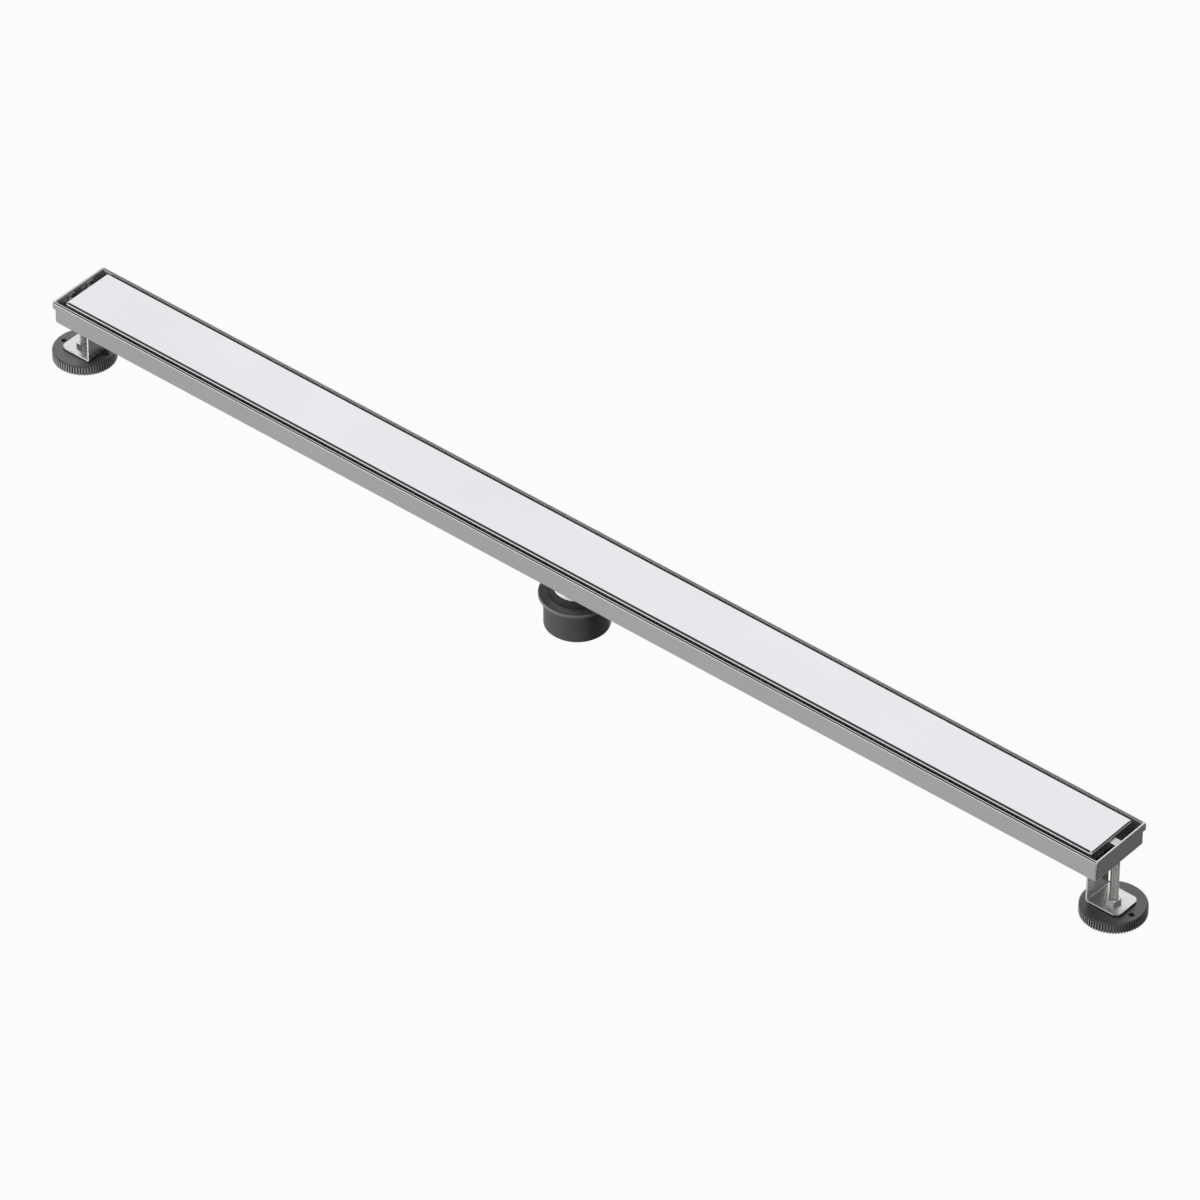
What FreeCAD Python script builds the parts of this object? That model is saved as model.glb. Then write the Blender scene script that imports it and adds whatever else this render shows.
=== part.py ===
# Linear shower drain: a hemmed stainless channel with a flat lift-off cover, a vertical
# outlet with a push-on pipe adapter, and a screw-adjusted levelling foot at each end.
# Millimetres. Origin: centre of the underside, on the plane the feet stand on.
# +X along the channel, +Y across it, +Z up. The right-hand end is the +X end.
# Bend and corner radii are the inner ones, so a thicker sheet grows outwards.
import FreeCAD
import Part
import os
from math import cos, pi, radians, sin, sqrt, tan

V = FreeCAD.Vector
X_AXIS, Z_AXIS = V(1, 0, 0), V(0, 0, 1)
ORIGIN = V(0, 0, 0)

# Overall
LENGTH = 1200.0            # over the rim
WIDTH = 70.0               # over the rim
RIM_Z = 80.0               # height of the rim above the floor the feet stand on
SHEET = 1.5                # stainless sheet of channel, cover, supports and brackets

# Channel
CHANNEL_DEPTH = 24.0       # rim top to channel underside
HEM_GAP = 0.3              # air left inside the folded hem
HEM_HEIGHT = 7.0           # rim top to the lower edge of the hem
RIM_CORNER = 2.5           # outer corner radius of the rim, seen from above
WALL_CORNER = 0.7          # corner radius inside the trough, seen from above
FLOOR_BEND = 0.5           # fold between walls and floor

# Outlet: spigot tube, push-on adapter and its seal, sized from the pipe end inwards
OUTLET_X = -4.5            # outlet axis from the middle of the drain
PIPE_R = 30.15             # outside of the adapter's pipe end
PIPE_WALL = 3.0
PIPE_CHAMFER = 1.0
ADAPTER_HEIGHT = 35.5
FLANGE_REACH = 4.75        # flange edge past the pipe's outside
FLANGE_T = 3.9
FLANGE_ROUND = 1.6         # round on the flange's upper edge
FLANGE_BORE_T = 3.5        # height of the cylindrical bore through the flange
SEAT_STEP = 2.15           # pipe bore past the flange bore
EDGE_ROUND = 0.6
BORE_EDGE = 0.3
SEAL_ROOM = 3.8            # flange bore past the spigot's outside
SPIGOT_WALL = 1.5
SPIGOT_LENGTH = 38.0
SPIGOT_SHOW = 20.5         # channel underside to the top of the adapter's flange
LEAD_IN = 0.7              # outer edge taken off the spigot's end
WELD = 1.6                 # leg of the weld under the channel

SEAL_FIT = 0.05            # air between the seal and the pieces it closes on
SEAL_WALL = 1.75
SEAL_TAIL = 7.0            # flange top to the seal's lower end
SEAL_BEAD_H = 1.7
SEAL_BEAD_AIR = 0.85       # between the bead and the pipe's bore
SEAL_BEAD_DROP = 1.8       # bead top below the flange's cylindrical bore
SEAL_RIM = 0.9             # reach of the seal's rim over the flange
SEAL_RIM_H = 0.8
SEAL_LIP_RISE = 4.9        # lip above the flange
SEAL_LIP_T = 1.0
SEAL_LIP_H = 1.6           # height of the band that touches the spigot

# Cover
SIDE_GAP = 2.8             # between cover and hem along the sides
END_GAP = 7.6              # between cover and hem at the ends
COVER_RISE = 1.2           # cover top above the rim
COVER_SKIRT = 10.0
COVER_BEND = 1.4
COVER_CORNER = 1.5

# Supports that stand on the channel floor and carry the cover
SUPPORT_COUNT = 6
SUPPORT_INSET = 30.0       # middle of the end supports from the cover's end
SUPPORT_LENGTH = 30.0
SUPPORT_TOP_AIR = 2.4      # between the support's legs and the cover's skirt
SUPPORT_FOOT_AIR = 1.7     # between the support's feet and the channel walls
SUPPORT_BEND = 1.0

# Spacer clips on the end walls, which centre the cover: (name, end, y of the middle)
SPACERS = (("spacer_left_near", -1, -12.4), ("spacer_left_far", -1, 12.4),
           ("spacer_right", 1, 0.0))
SPACER_W = 8.3
SPACER_T = 1.2
SPACER_BEND = 0.4
SPACER_DROP = 2.5          # tongue top below the rim
SPACER_LEG = 9.5
SPACER_FIT = 0.2           # air between the tongue and the cover's end

# Hair strainer in the outlet hole
STRAINER_T = 0.8
STRAINER_AIR = 1.1         # between the dish and the spigot's bore
STRAINER_FLANGE = 6.3      # flange past the spigot's bore
STRAINER_DEPTH = 4.0
STRAINER_BEND = 0.6
STRAINER_HOLE_R = 1.6
STRAINER_RINGS = 3         # rings of holes round the middle one
STRAINER_PITCH = 4.9

# Levelling feet
FOOT_INSET = 6.0           # screw axis from the rim's end
BRACKET_WEB = 19.0         # screw axis to the bracket's upright
BRACKET_NOSE = 15.7        # screw axis to the end of the bracket's plate
BRACKET_W = 30.0
BRACKET_CORNER = 5.5
BRACKET_BEND = 0.8
BRACKET_FLANGE = 25.0      # top flange, under the channel
SCREW_R = 4.0
SCREW_CHAMFER = 0.8
SCREW_FIT = 0.05           # radial clearance of screw in nut
SCREW_TIP_AIR = 0.4        # screw end to channel underside
HEAD_AF = 13.0
HEAD_H = 5.3
HEAD_REST_Z = 0.3          # underside of the screw head above the floor
NUT_AF = 13.0
NUT_H = 4.0
NUT_TURN = 6.0             # degrees
NUT_LEAD_IN = 0.5
HEX_CROWN = 0.97           # flat circle on a nut or head, as a share of across flats
HEX_MARGIN = 1.0           # turned envelope past the hexagon's corners
PLATE_HOLE_FIT = 0.4       # radial
WASHER_R = 8.0
WASHER_T = 1.2
WASHER_EDGE = 0.2
WASHER_FIT = 0.2           # radial, on the screw
DISC_R = 30.0
DISC_T = 9.6
DISC_BEVEL = 2.0           # radial width of the bevel round the top
DISC_BEVEL_H = 1.7
DISC_WALL = 3.4
DISC_DECK = 3.4            # thickness left above the cored underside
DISC_FIT = 0.2             # radial, on the screw
DISC_RIBS = 8
RIB_T = 1.8
HUB_WALL = 3.4             # round the hexagon pocket
POCKET_FIT = 0.1           # clearance of the screw head's flats in its pocket
TEETH = 72
TOOTH_H = 1.3
TOOTH_TIP = 0.44           # tip width as a share of the tooth pitch
TOOTH_GULLET = 0.34        # gullet width as a share of the tooth pitch
FOOT_HOLE_R = 2.6
FOOT_HOLE_INSET = 8.25     # fixing hole from the rim of the disc
FOOT_BOSS_WALL = 2.6
FOOT_TURN = {-1: 12.6, 1: -8.0}     # degrees each foot is turned, by end

# Derived
HEM_W = 2 * SHEET + HEM_GAP
INNER_LENGTH, INNER_WIDTH = LENGTH - 2 * HEM_W, WIDTH - 2 * HEM_W
UNDERSIDE_Z = RIM_Z - CHANNEL_DEPTH
FLOOR_Z = UNDERSIDE_Z + SHEET
COVER_Z = RIM_Z + COVER_RISE
COVER_LENGTH, COVER_WIDTH = INNER_LENGTH - 2 * END_GAP, INNER_WIDTH - 2 * SIDE_GAP
PIPE_BORE_R = PIPE_R - PIPE_WALL
FLANGE_BORE_R = PIPE_BORE_R - SEAT_STEP
SPIGOT_R = FLANGE_BORE_R - SEAL_ROOM
SPIGOT_BORE_R = SPIGOT_R - SPIGOT_WALL
FLANGE_TOP_Z = UNDERSIDE_Z - SPIGOT_SHOW
FLANGE_SEAT_Z = FLANGE_TOP_Z - FLANGE_BORE_T
FOOT_X = LENGTH / 2 - FOOT_INSET
PLATE_Z = DISC_T + WASHER_T          # underside of the bracket's plate
NUT_Z = PLATE_Z + SHEET
NECK_Z = HEAD_REST_Z + HEAD_H        # where the screw leaves its head


def rounded_prism(length, width, z0, z1, corner):
    """Upright prism about the Z axis with rounded vertical corners."""
    box = Part.makeBox(length, width, z1 - z0, V(-length / 2, -width / 2, z0))
    upright = [e for e in box.Edges if abs(e.tangentAt(0).z) > 0.9]
    return box.makeFillet(corner, upright)


def edges_at(shape, z):
    """Edges that lie in the plane at height z."""
    return [e for e in shape.Edges
            if abs(e.BoundBox.ZMin - z) < 1e-6 and abs(e.BoundBox.ZMax - z) < 1e-6]


def revolved(points, centre_x=0.0):
    """Solid of revolution about the vertical axis at centre_x from (radius, z) points."""
    wire = Part.makePolygon([V(r, 0, z) for r, z in list(points) + [points[0]]])
    solid = Part.Face(wire).revolve(ORIGIN, Z_AXIS, 360)
    solid.translate(V(centre_x, 0, 0))
    return solid


def round_corners(points, radii):
    """Closed wire in the XZ plane through points, with a radius at each listed corner."""
    edges, ends = [], []
    n = len(points)
    for i in range(n):
        p, a, b = (V(points[j % n][0], 0, points[j % n][1]) for j in (i, i - 1, i + 1))
        r = radii.get(i, 0)
        if not r:
            ends.append((p, p, None))
            continue
        u, w = (a - p).normalize(), (b - p).normalize()
        half = u.getAngle(w) / 2
        reach = r / tan(half)
        middle = p + (u + w).normalize() * (r / sin(half) - r)
        ends.append((p + u * reach, p + w * reach, middle))
    for i in range(n):
        start, stop, middle = ends[i]
        if middle is not None:
            edges.append(Part.Arc(start, middle, stop).toShape())
        leave, enter = stop, ends[(i + 1) % n][0]
        if (leave - enter).Length > 1e-6:
            edges.append(Part.makeLine(leave, enter))
    return Part.Wire(edges)


def folded_strip(path, bend, depth, t=SHEET):
    """Sheet folded along an open path in the XZ plane and drawn out over depth in Y.

    The path is one face of the sheet and the thickness lies on its left. bend is the
    inner radius of every fold, whichever way it turns.
    """
    points = [V(x, 0, z) for x, z in path]
    steps = [(b - a).normalize() for a, b in zip(points, points[1:])]
    lefts = [V(-s.z, 0, s.x) for s in steps]
    other = [points[0] + lefts[0] * t]
    for i in range(1, len(points) - 1):
        across = lefts[i - 1] + lefts[i]
        other.append(points[i] + across * (t / (1 + lefts[i - 1].dot(lefts[i]))))
    other.append(points[-1] + lefts[-1] * t)
    radii, n = {}, len(points)
    for i in range(1, n - 1):
        path_outside = steps[i - 1].cross(steps[i]).y < 0
        radii[i] = bend + t if path_outside else bend
        radii[2 * n - 1 - i] = bend if path_outside else bend + t
    wire = round_corners([(p.x, p.z) for p in points + other[::-1]], radii)
    solid = Part.Face(wire).extrude(V(0, depth, 0))
    solid.translate(V(0, -depth / 2, 0))
    return solid


def hexagon_prism(across_flats, z0, z1, turn=0.0):
    """Hexagonal prism about the Z axis."""
    r = across_flats / sqrt(3)
    corners = [V(r * cos(radians(turn + 60 * k)), r * sin(radians(turn + 60 * k)), z0)
               for k in range(7)]
    return Part.Face(Part.makePolygon(corners)).extrude(V(0, 0, z1 - z0))


def crowned_hexagon(across_flats, z0, z1, turn, both_ends):
    """Hexagon with the turned 30-degree crown of a nut or screw head."""
    crown, reach = across_flats / 2 * HEX_CROWN, across_flats / sqrt(3) + HEX_MARGIN
    drop = (reach - crown) * tan(radians(30))
    form = revolved([(0, z0), (reach, z0), (reach, z1 - drop), (crown, z1), (0, z1)])
    hexagon = hexagon_prism(across_flats, z0, z1, turn).common(form)
    if both_ends:
        hexagon = hexagon.common(form.mirror(V(0, 0, (z0 + z1) / 2), Z_AXIS))
    return hexagon


def channel():
    """Trough with folded floor, closed ends and an outward hem round its whole rim."""
    length, width = INNER_LENGTH + 2 * SHEET, INNER_WIDTH + 2 * SHEET
    corner = WALL_CORNER + SHEET
    hem_bottom = RIM_Z - HEM_HEIGHT
    tub = rounded_prism(length, width, UNDERSIDE_Z, RIM_Z, corner)
    tub = tub.makeFillet(FLOOR_BEND + SHEET, edges_at(tub, UNDERSIDE_Z))
    body = tub.fuse(rounded_prism(LENGTH, WIDTH, hem_bottom, RIM_Z, RIM_CORNER))
    body = body.removeSplitter()
    trough = rounded_prism(INNER_LENGTH, INNER_WIDTH, FLOOR_Z, RIM_Z + SHEET, WALL_CORNER)
    body = body.cut(trough.makeFillet(FLOOR_BEND, edges_at(trough, FLOOR_Z)))
    # Full round of the hem: the rim top rolls over from the inner to the outer face.
    body = body.makeFillet(HEM_W / 2 - 0.02, edges_at(body, RIM_Z))
    slot = rounded_prism(length + 2 * HEM_GAP, width + 2 * HEM_GAP, hem_bottom - SHEET,
                         RIM_Z - SHEET, corner + HEM_GAP)
    body = body.cut(slot.cut(rounded_prism(length, width, UNDERSIDE_Z, RIM_Z, corner)))
    return body.cut(Part.makeCylinder(SPIGOT_BORE_R, 3 * SHEET,
                                      V(OUTLET_X, 0, UNDERSIDE_Z - SHEET)))


def outlet_spigot():
    """Tube welded under the floor's hole, with its weld fillet and a lead-in chamfer."""
    end = UNDERSIDE_Z - SPIGOT_LENGTH
    return revolved([(SPIGOT_BORE_R, end), (SPIGOT_R - LEAD_IN, end),
                     (SPIGOT_R, end + 2 * LEAD_IN), (SPIGOT_R, UNDERSIDE_Z - WELD),
                     (SPIGOT_R + WELD * 0.35, UNDERSIDE_Z - WELD * 0.35),
                     (SPIGOT_R + WELD, UNDERSIDE_Z), (SPIGOT_BORE_R, UNDERSIDE_Z)], OUTLET_X)


def outlet_adapter():
    """Moulded adapter: pipe end below, flange above with the seat for the seal."""
    end, edge = FLANGE_TOP_Z - ADAPTER_HEIGHT, PIPE_R + FLANGE_REACH
    under = FLANGE_TOP_Z - FLANGE_T
    points = [(PIPE_BORE_R, end), (PIPE_R - PIPE_CHAMFER, end), (PIPE_R, end + PIPE_CHAMFER),
              (PIPE_R, under - EDGE_ROUND), (PIPE_R + EDGE_ROUND, under),
              (edge - EDGE_ROUND, under), (edge, under + EDGE_ROUND),
              (edge, FLANGE_TOP_Z), (FLANGE_BORE_R + BORE_EDGE, FLANGE_TOP_Z),
              (FLANGE_BORE_R, FLANGE_TOP_Z - BORE_EDGE),
              (FLANGE_BORE_R, FLANGE_SEAT_Z), (PIPE_BORE_R, FLANGE_SEAT_Z - SEAT_STEP)]
    outline = round_corners(points, {points.index((edge, FLANGE_TOP_Z)): FLANGE_ROUND})
    adapter = Part.Face(outline).revolve(ORIGIN, Z_AXIS, 360)
    adapter.translate(V(OUTLET_X, 0, 0))
    return adapter


def outlet_seal():
    """Rubber grommet in the flange's bore, with a conical lip that closes on the spigot."""
    waist, touch = FLANGE_BORE_R - SEAL_FIT, SPIGOT_R + SEAL_FIT
    inside, bead, rim = waist - SEAL_WALL, PIPE_BORE_R - SEAL_BEAD_AIR, FLANGE_BORE_R + SEAL_RIM
    tail, crest = FLANGE_TOP_Z - SEAL_TAIL, FLANGE_TOP_Z + SEAL_RIM_H
    bead_top, lip = FLANGE_SEAT_Z - SEAL_BEAD_DROP, FLANGE_TOP_Z + SEAL_LIP_RISE
    return revolved([(inside, tail), (bead, bead_top - SEAL_BEAD_H), (bead, bead_top),
                     (waist, FLANGE_SEAT_Z - BORE_EDGE), (waist, FLANGE_TOP_Z),
                     (rim, FLANGE_TOP_Z), (rim, crest - BORE_EDGE), (rim - BORE_EDGE, crest),
                     (waist, crest), (touch + SEAL_LIP_T, lip - BORE_EDGE),
                     (touch + SEAL_LIP_T - BORE_EDGE, lip), (touch + BORE_EDGE, lip),
                     (touch, lip - BORE_EDGE), (touch, lip - SEAL_LIP_H),
                     (inside, FLANGE_TOP_Z - SEAL_LIP_T)], OUTLET_X)


def cover_plate():
    """Flat cover with its four edges folded down into a skirt."""
    z0, under = COVER_Z - COVER_SKIRT, COVER_Z - SHEET
    outer = rounded_prism(COVER_LENGTH, COVER_WIDTH, z0, COVER_Z, COVER_CORNER + SHEET)
    outer = outer.makeFillet(COVER_BEND + SHEET, edges_at(outer, COVER_Z))
    inner = rounded_prism(COVER_LENGTH - 2 * SHEET, COVER_WIDTH - 2 * SHEET, z0 - SHEET, under,
                          COVER_CORNER)
    return outer.cut(inner.makeFillet(COVER_BEND, edges_at(inner, under)))


def cover_support(x):
    """Hat-section bridge: a top under the cover, two legs, and feet on the floor."""
    top, leg = COVER_Z - SHEET, COVER_WIDTH / 2 - SHEET - SUPPORT_TOP_AIR
    toe = INNER_WIDTH / 2 - SUPPORT_FOOT_AIR
    foot_top = FLOOR_Z + SHEET
    solid = folded_strip([(toe, foot_top), (leg, foot_top), (leg, top), (-leg, top),
                          (-leg, foot_top), (-toe, foot_top)], SUPPORT_BEND, SUPPORT_LENGTH)
    solid.rotate(ORIGIN, Z_AXIS, 90)
    solid.translate(V(x, 0, 0))
    return solid


def spacer(end, y):
    """Angle clip on an end wall that keeps the cover's end clear of it, with its tongue
    uppermost at the right end and lowermost at the left."""
    top, wall = RIM_Z - SPACER_DROP, INNER_LENGTH / 2
    tip = COVER_LENGTH / 2 + SPACER_FIT
    clip = folded_strip([(wall, top - SPACER_LEG), (wall, top), (tip, top)], SPACER_BEND,
                        SPACER_W, SPACER_T)
    if end < 0:
        clip = clip.mirror(ORIGIN, X_AXIS).mirror(V(0, 0, top - SPACER_LEG / 2), Z_AXIS)
    clip.translate(V(0, y, 0))
    return clip


def hair_strainer():
    """Pressed and perforated dish that lies in the outlet hole by its flange."""
    top, low, t = FLOOR_Z + STRAINER_T, FLOOR_Z + STRAINER_T - STRAINER_DEPTH, STRAINER_T
    r, flange = SPIGOT_BORE_R - STRAINER_AIR, SPIGOT_BORE_R + STRAINER_FLANGE
    tight, wide = STRAINER_BEND, STRAINER_BEND + t
    wire = round_corners([(0, low), (r, low), (r, FLOOR_Z), (flange, FLOOR_Z), (flange, top),
                          (r - t, top), (r - t, low + t), (0, low + t)],
                         {1: wide, 2: tight, 5: wide, 6: tight})
    dish = Part.Face(wire).revolve(ORIGIN, Z_AXIS, 360)
    drills = [Part.makeCylinder(STRAINER_HOLE_R, 3 * t, V(0, 0, low - t))]
    for ring in range(1, STRAINER_RINGS + 1):
        for k in range(6 * ring):
            turn = 2 * pi * k / (6 * ring)
            place = V(cos(turn), sin(turn), 0) * (ring * STRAINER_PITCH)
            drills.append(Part.makeCylinder(STRAINER_HOLE_R, 3 * t, place + V(0, 0, low - t)))
    dish = dish.cut(Part.makeCompound(drills))
    dish.translate(V(OUTLET_X, 0, 0))
    return dish


def placed(shape, side):
    """Shape modelled about a screw axis at the origin, moved to the foot at that end."""
    if side < 0:
        shape.rotate(ORIGIN, Z_AXIS, 180)
    shape.translate(V(side * FOOT_X, 0, 0))
    return shape


def bracket(side):
    """Z-folded strap: flange under the channel, upright, and the plate the screw passes."""
    web = SHEET - BRACKET_WEB
    path = [(BRACKET_NOSE, NUT_Z), (web, NUT_Z), (web, UNDERSIDE_Z),
            (-BRACKET_WEB - BRACKET_FLANGE, UNDERSIDE_Z)]
    solid = folded_strip(path, BRACKET_BEND, BRACKET_W)
    corners = [e for e in solid.Edges if abs(e.tangentAt(e.FirstParameter).z) > 0.9
               and abs(e.BoundBox.XMax - BRACKET_NOSE) < 1e-6]
    solid = solid.makeFillet(BRACKET_CORNER, corners)
    hole = Part.makeCylinder(SCREW_R + PLATE_HOLE_FIT, 3 * SHEET, V(0, 0, PLATE_Z - SHEET))
    return placed(solid.cut(hole), side)


def nut(side):
    """Thin hexagon nut fixed on the bracket's plate."""
    body = crowned_hexagon(NUT_AF, NUT_Z, NUT_Z + NUT_H, side * NUT_TURN, False)
    r, top = SCREW_R + SCREW_FIT, NUT_Z + NUT_H
    bore = revolved([(0, NUT_Z - 1), (r, NUT_Z - 1), (r, top - NUT_LEAD_IN),
                     (r + 2 * NUT_LEAD_IN, top + NUT_LEAD_IN), (0, top + NUT_LEAD_IN)])
    return placed(body.cut(bore), side)


def washer(side):
    """Plain washer between the foot disc and the bracket's plate."""
    ring = Part.makeCylinder(WASHER_R, WASHER_T, V(0, 0, DISC_T))
    ring = ring.makeChamfer(WASHER_EDGE, edges_at(ring, PLATE_Z))
    bore = Part.makeCylinder(SCREW_R + WASHER_FIT, 3 * WASHER_T, V(0, 0, DISC_T - WASHER_T))
    return placed(ring.cut(bore), side)


def bolt(side):
    """Hexagon-head screw that stands in the foot disc, with its major diameter plain."""
    top = UNDERSIDE_Z - SCREW_TIP_AIR
    head = crowned_hexagon(HEAD_AF, HEAD_REST_Z, NECK_Z, FOOT_TURN[side], True)
    shank = revolved([(0, HEAD_REST_Z), (SCREW_R, HEAD_REST_Z), (SCREW_R, top - SCREW_CHAMFER),
                      (SCREW_R - SCREW_CHAMFER, top), (0, top)])
    return placed(head.fuse(shank).removeSplitter(), side)


def serrated_face():
    """Outline of the foot disc's grip teeth, on the floor."""
    corners, step = [], 2 * pi / TEETH
    for k in range(TEETH):
        for radius, along in ((DISC_R, -TOOTH_TIP / 2), (DISC_R, TOOTH_TIP / 2),
                              (DISC_R - TOOTH_H, 0.5 - TOOTH_GULLET / 2),
                              (DISC_R - TOOTH_H, 0.5 + TOOTH_GULLET / 2)):
            turn = step * (k + along)
            corners.append(V(radius * cos(turn), radius * sin(turn), 0))
    return Part.Face(Part.makePolygon(corners + [corners[0]]))


def foot_disc(side):
    """Moulded foot: serrated grip rim, bevelled deck, and a cored underside with ribs,
    a hexagon pocket for the screw head and bosses round the two fixing holes."""
    core_z = DISC_T - DISC_DECK
    pocket_af = HEAD_AF + 2 * POCKET_FIT
    form = revolved([(0, 0), (DISC_R + 1, 0), (DISC_R + 1, DISC_T - DISC_BEVEL_H),
                     (DISC_R, DISC_T - DISC_BEVEL_H), (DISC_R - DISC_BEVEL, DISC_T),
                     (0, DISC_T)])
    disc = serrated_face().extrude(V(0, 0, DISC_T)).common(form)
    reach = DISC_R - FOOT_HOLE_INSET
    holes = [V(sign * reach, 0, -1) for sign in (-1, 1)]
    keep = [Part.makeCylinder(pocket_af / sqrt(3) + HUB_WALL, core_z + 1, V(0, 0, -1))]
    keep += [Part.makeCylinder(FOOT_HOLE_R + FOOT_BOSS_WALL, core_z + 1, p) for p in holes]
    for k in range(DISC_RIBS):
        rib = Part.makeBox(DISC_R, RIB_T, core_z + 1, V(0, -RIB_T / 2, -1))
        rib.rotate(ORIGIN, Z_AXIS, 360.0 / DISC_RIBS * k)
        keep.append(rib)
    core = Part.makeCylinder(DISC_R - DISC_WALL, core_z + 1, V(0, 0, -1))
    disc = disc.cut(core.cut(keep[0].fuse(keep[1:])))
    drills = [Part.makeCylinder(SCREW_R + DISC_FIT, 2 * DISC_T, V(0, 0, -1))]
    drills += [Part.makeCylinder(FOOT_HOLE_R, 2 * DISC_T, p) for p in holes]
    disc = disc.cut(hexagon_prism(pocket_af, -1, NECK_Z).fuse(drills)).removeSplitter()
    disc.rotate(ORIGIN, Z_AXIS, FOOT_TURN[side])
    return placed(disc, side)


def build():
    """All sub-parts by node name."""
    parts = {"channel": channel(), "outlet_spigot": outlet_spigot(),
             "outlet_adapter": outlet_adapter(), "outlet_seal": outlet_seal(),
             "cover_plate": cover_plate(), "hair_strainer": hair_strainer()}
    first = COVER_LENGTH / 2 - SUPPORT_INSET
    for number in range(SUPPORT_COUNT):
        x = -first + 2 * first * number / (SUPPORT_COUNT - 1)
        parts["cover_support_%d" % (number + 1)] = cover_support(x)
    for name, end, y in SPACERS:
        parts[name] = spacer(end, y)
    for word, side in (("left", -1), ("right", 1)):
        for make in (bracket, nut, washer, bolt, foot_disc):
            parts["%s_%s" % (word, make.__name__)] = make(side)
    return parts


os.makedirs("parts", exist_ok=True)
for node, shape in build().items():
    solids = shape.Solids
    assert len(solids) == 1 and solids[0].isValid(), node
    solids[0].exportStep("parts/%s.step" % node)
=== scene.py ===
import logging
from dataclasses import dataclass, field
from enum import Enum
from math import cos, pi, radians, sin
from typing import Any, Dict, Optional, Tuple, Union

import bmesh
import bpy
from mathutils import Matrix, Vector


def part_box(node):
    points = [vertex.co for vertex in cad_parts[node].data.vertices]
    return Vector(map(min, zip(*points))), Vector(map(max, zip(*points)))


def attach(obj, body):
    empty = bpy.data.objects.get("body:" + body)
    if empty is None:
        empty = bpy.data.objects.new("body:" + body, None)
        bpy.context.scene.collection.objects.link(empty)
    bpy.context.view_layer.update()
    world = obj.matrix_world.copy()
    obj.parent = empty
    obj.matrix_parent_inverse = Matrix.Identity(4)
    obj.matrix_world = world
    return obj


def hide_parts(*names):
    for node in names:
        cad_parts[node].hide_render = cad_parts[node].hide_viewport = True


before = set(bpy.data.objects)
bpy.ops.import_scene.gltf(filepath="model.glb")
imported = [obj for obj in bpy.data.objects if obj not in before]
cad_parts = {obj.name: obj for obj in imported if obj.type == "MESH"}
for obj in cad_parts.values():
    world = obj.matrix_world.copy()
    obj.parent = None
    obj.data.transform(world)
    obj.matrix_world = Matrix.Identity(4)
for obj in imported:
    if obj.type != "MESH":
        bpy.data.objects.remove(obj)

LOG = logging.getLogger("shower_drain")
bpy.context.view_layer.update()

Colour = Tuple[float, float, float]
Triple = Tuple[float, float, float]
Span = Tuple[float, float]
Tint = Union[Colour, bpy.types.NodeSocket]

ORIGIN: Triple = (0.0, 0.0, 0.0)
UPWARDS: Triple = (0.0, 0.0, 1.0)
FLATTEN: Triple = (1.0, 1.0, 0.0)
UNSTRETCHED: Triple = (1.0, 1.0, 1.0)
WHITE = (1.0, 1.0, 1.0, 1.0)
NOISE_SPREAD: Span = (0.3, 0.7)


class Side(Enum):
    """The end of the drain that a levelling foot stands at: the sign of its X."""

    LEFT = -1
    RIGHT = 1


class Grain(Enum):
    """The way the marks run in a sheet: repeats of the pattern along X, Y and Z."""

    LENGTHWISE = (1.0, 90.0, 90.0)
    TURNED = (30.0, 30.0, 600.0)
    EVEN = (60.0, 60.0, 60.0)


class Value:
    """One number in a shader, on which Python arithmetic adds Math nodes."""

    def __init__(self, tree: "ShaderTree", socket: bpy.types.NodeSocket) -> None:
        """Keeps the tree and the socket that gives the number.

        Args:
            tree: the shader tree the socket belongs to.
            socket: an output socket.
        """
        self.tree = tree
        self.socket = socket

    def __add__(self, other: "Operand") -> "Value":
        """Returns the sum."""
        return self.tree.math("ADD", self, other)

    def __radd__(self, other: "Operand") -> "Value":
        """Returns the sum, for a plain number on the left."""
        return self.tree.math("ADD", other, self)

    def __sub__(self, other: "Operand") -> "Value":
        """Returns the difference."""
        return self.tree.math("SUBTRACT", self, other)

    def __rsub__(self, other: "Operand") -> "Value":
        """Returns the difference, for a plain number on the left."""
        return self.tree.math("SUBTRACT", other, self)

    def __mul__(self, other: "Operand") -> "Value":
        """Returns the product."""
        return self.tree.math("MULTIPLY", self, other)

    def __rmul__(self, other: "Operand") -> "Value":
        """Returns the product, for a plain number on the left."""
        return self.tree.math("MULTIPLY", other, self)

    def smooth_step(self, low: float, high: float, start: float = 0.0,
                    end: float = 1.0) -> "Value":
        """Runs softly from one level to another.

        Args:
            low: the number at which the change starts.
            high: the number at which it ends.
            start: the level up to low.
            end: the level from high on.

        Returns:
            The level as a Value.
        """
        node = self.tree.add("ShaderNodeMapRange", {"interpolation_type": "SMOOTHSTEP"}, {
            "Value": self, "From Min": low, "From Max": high, "To Min": start, "To Max": end})
        return Value(self.tree, node.outputs["Result"])


Operand = Union[Value, float, int]


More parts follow.
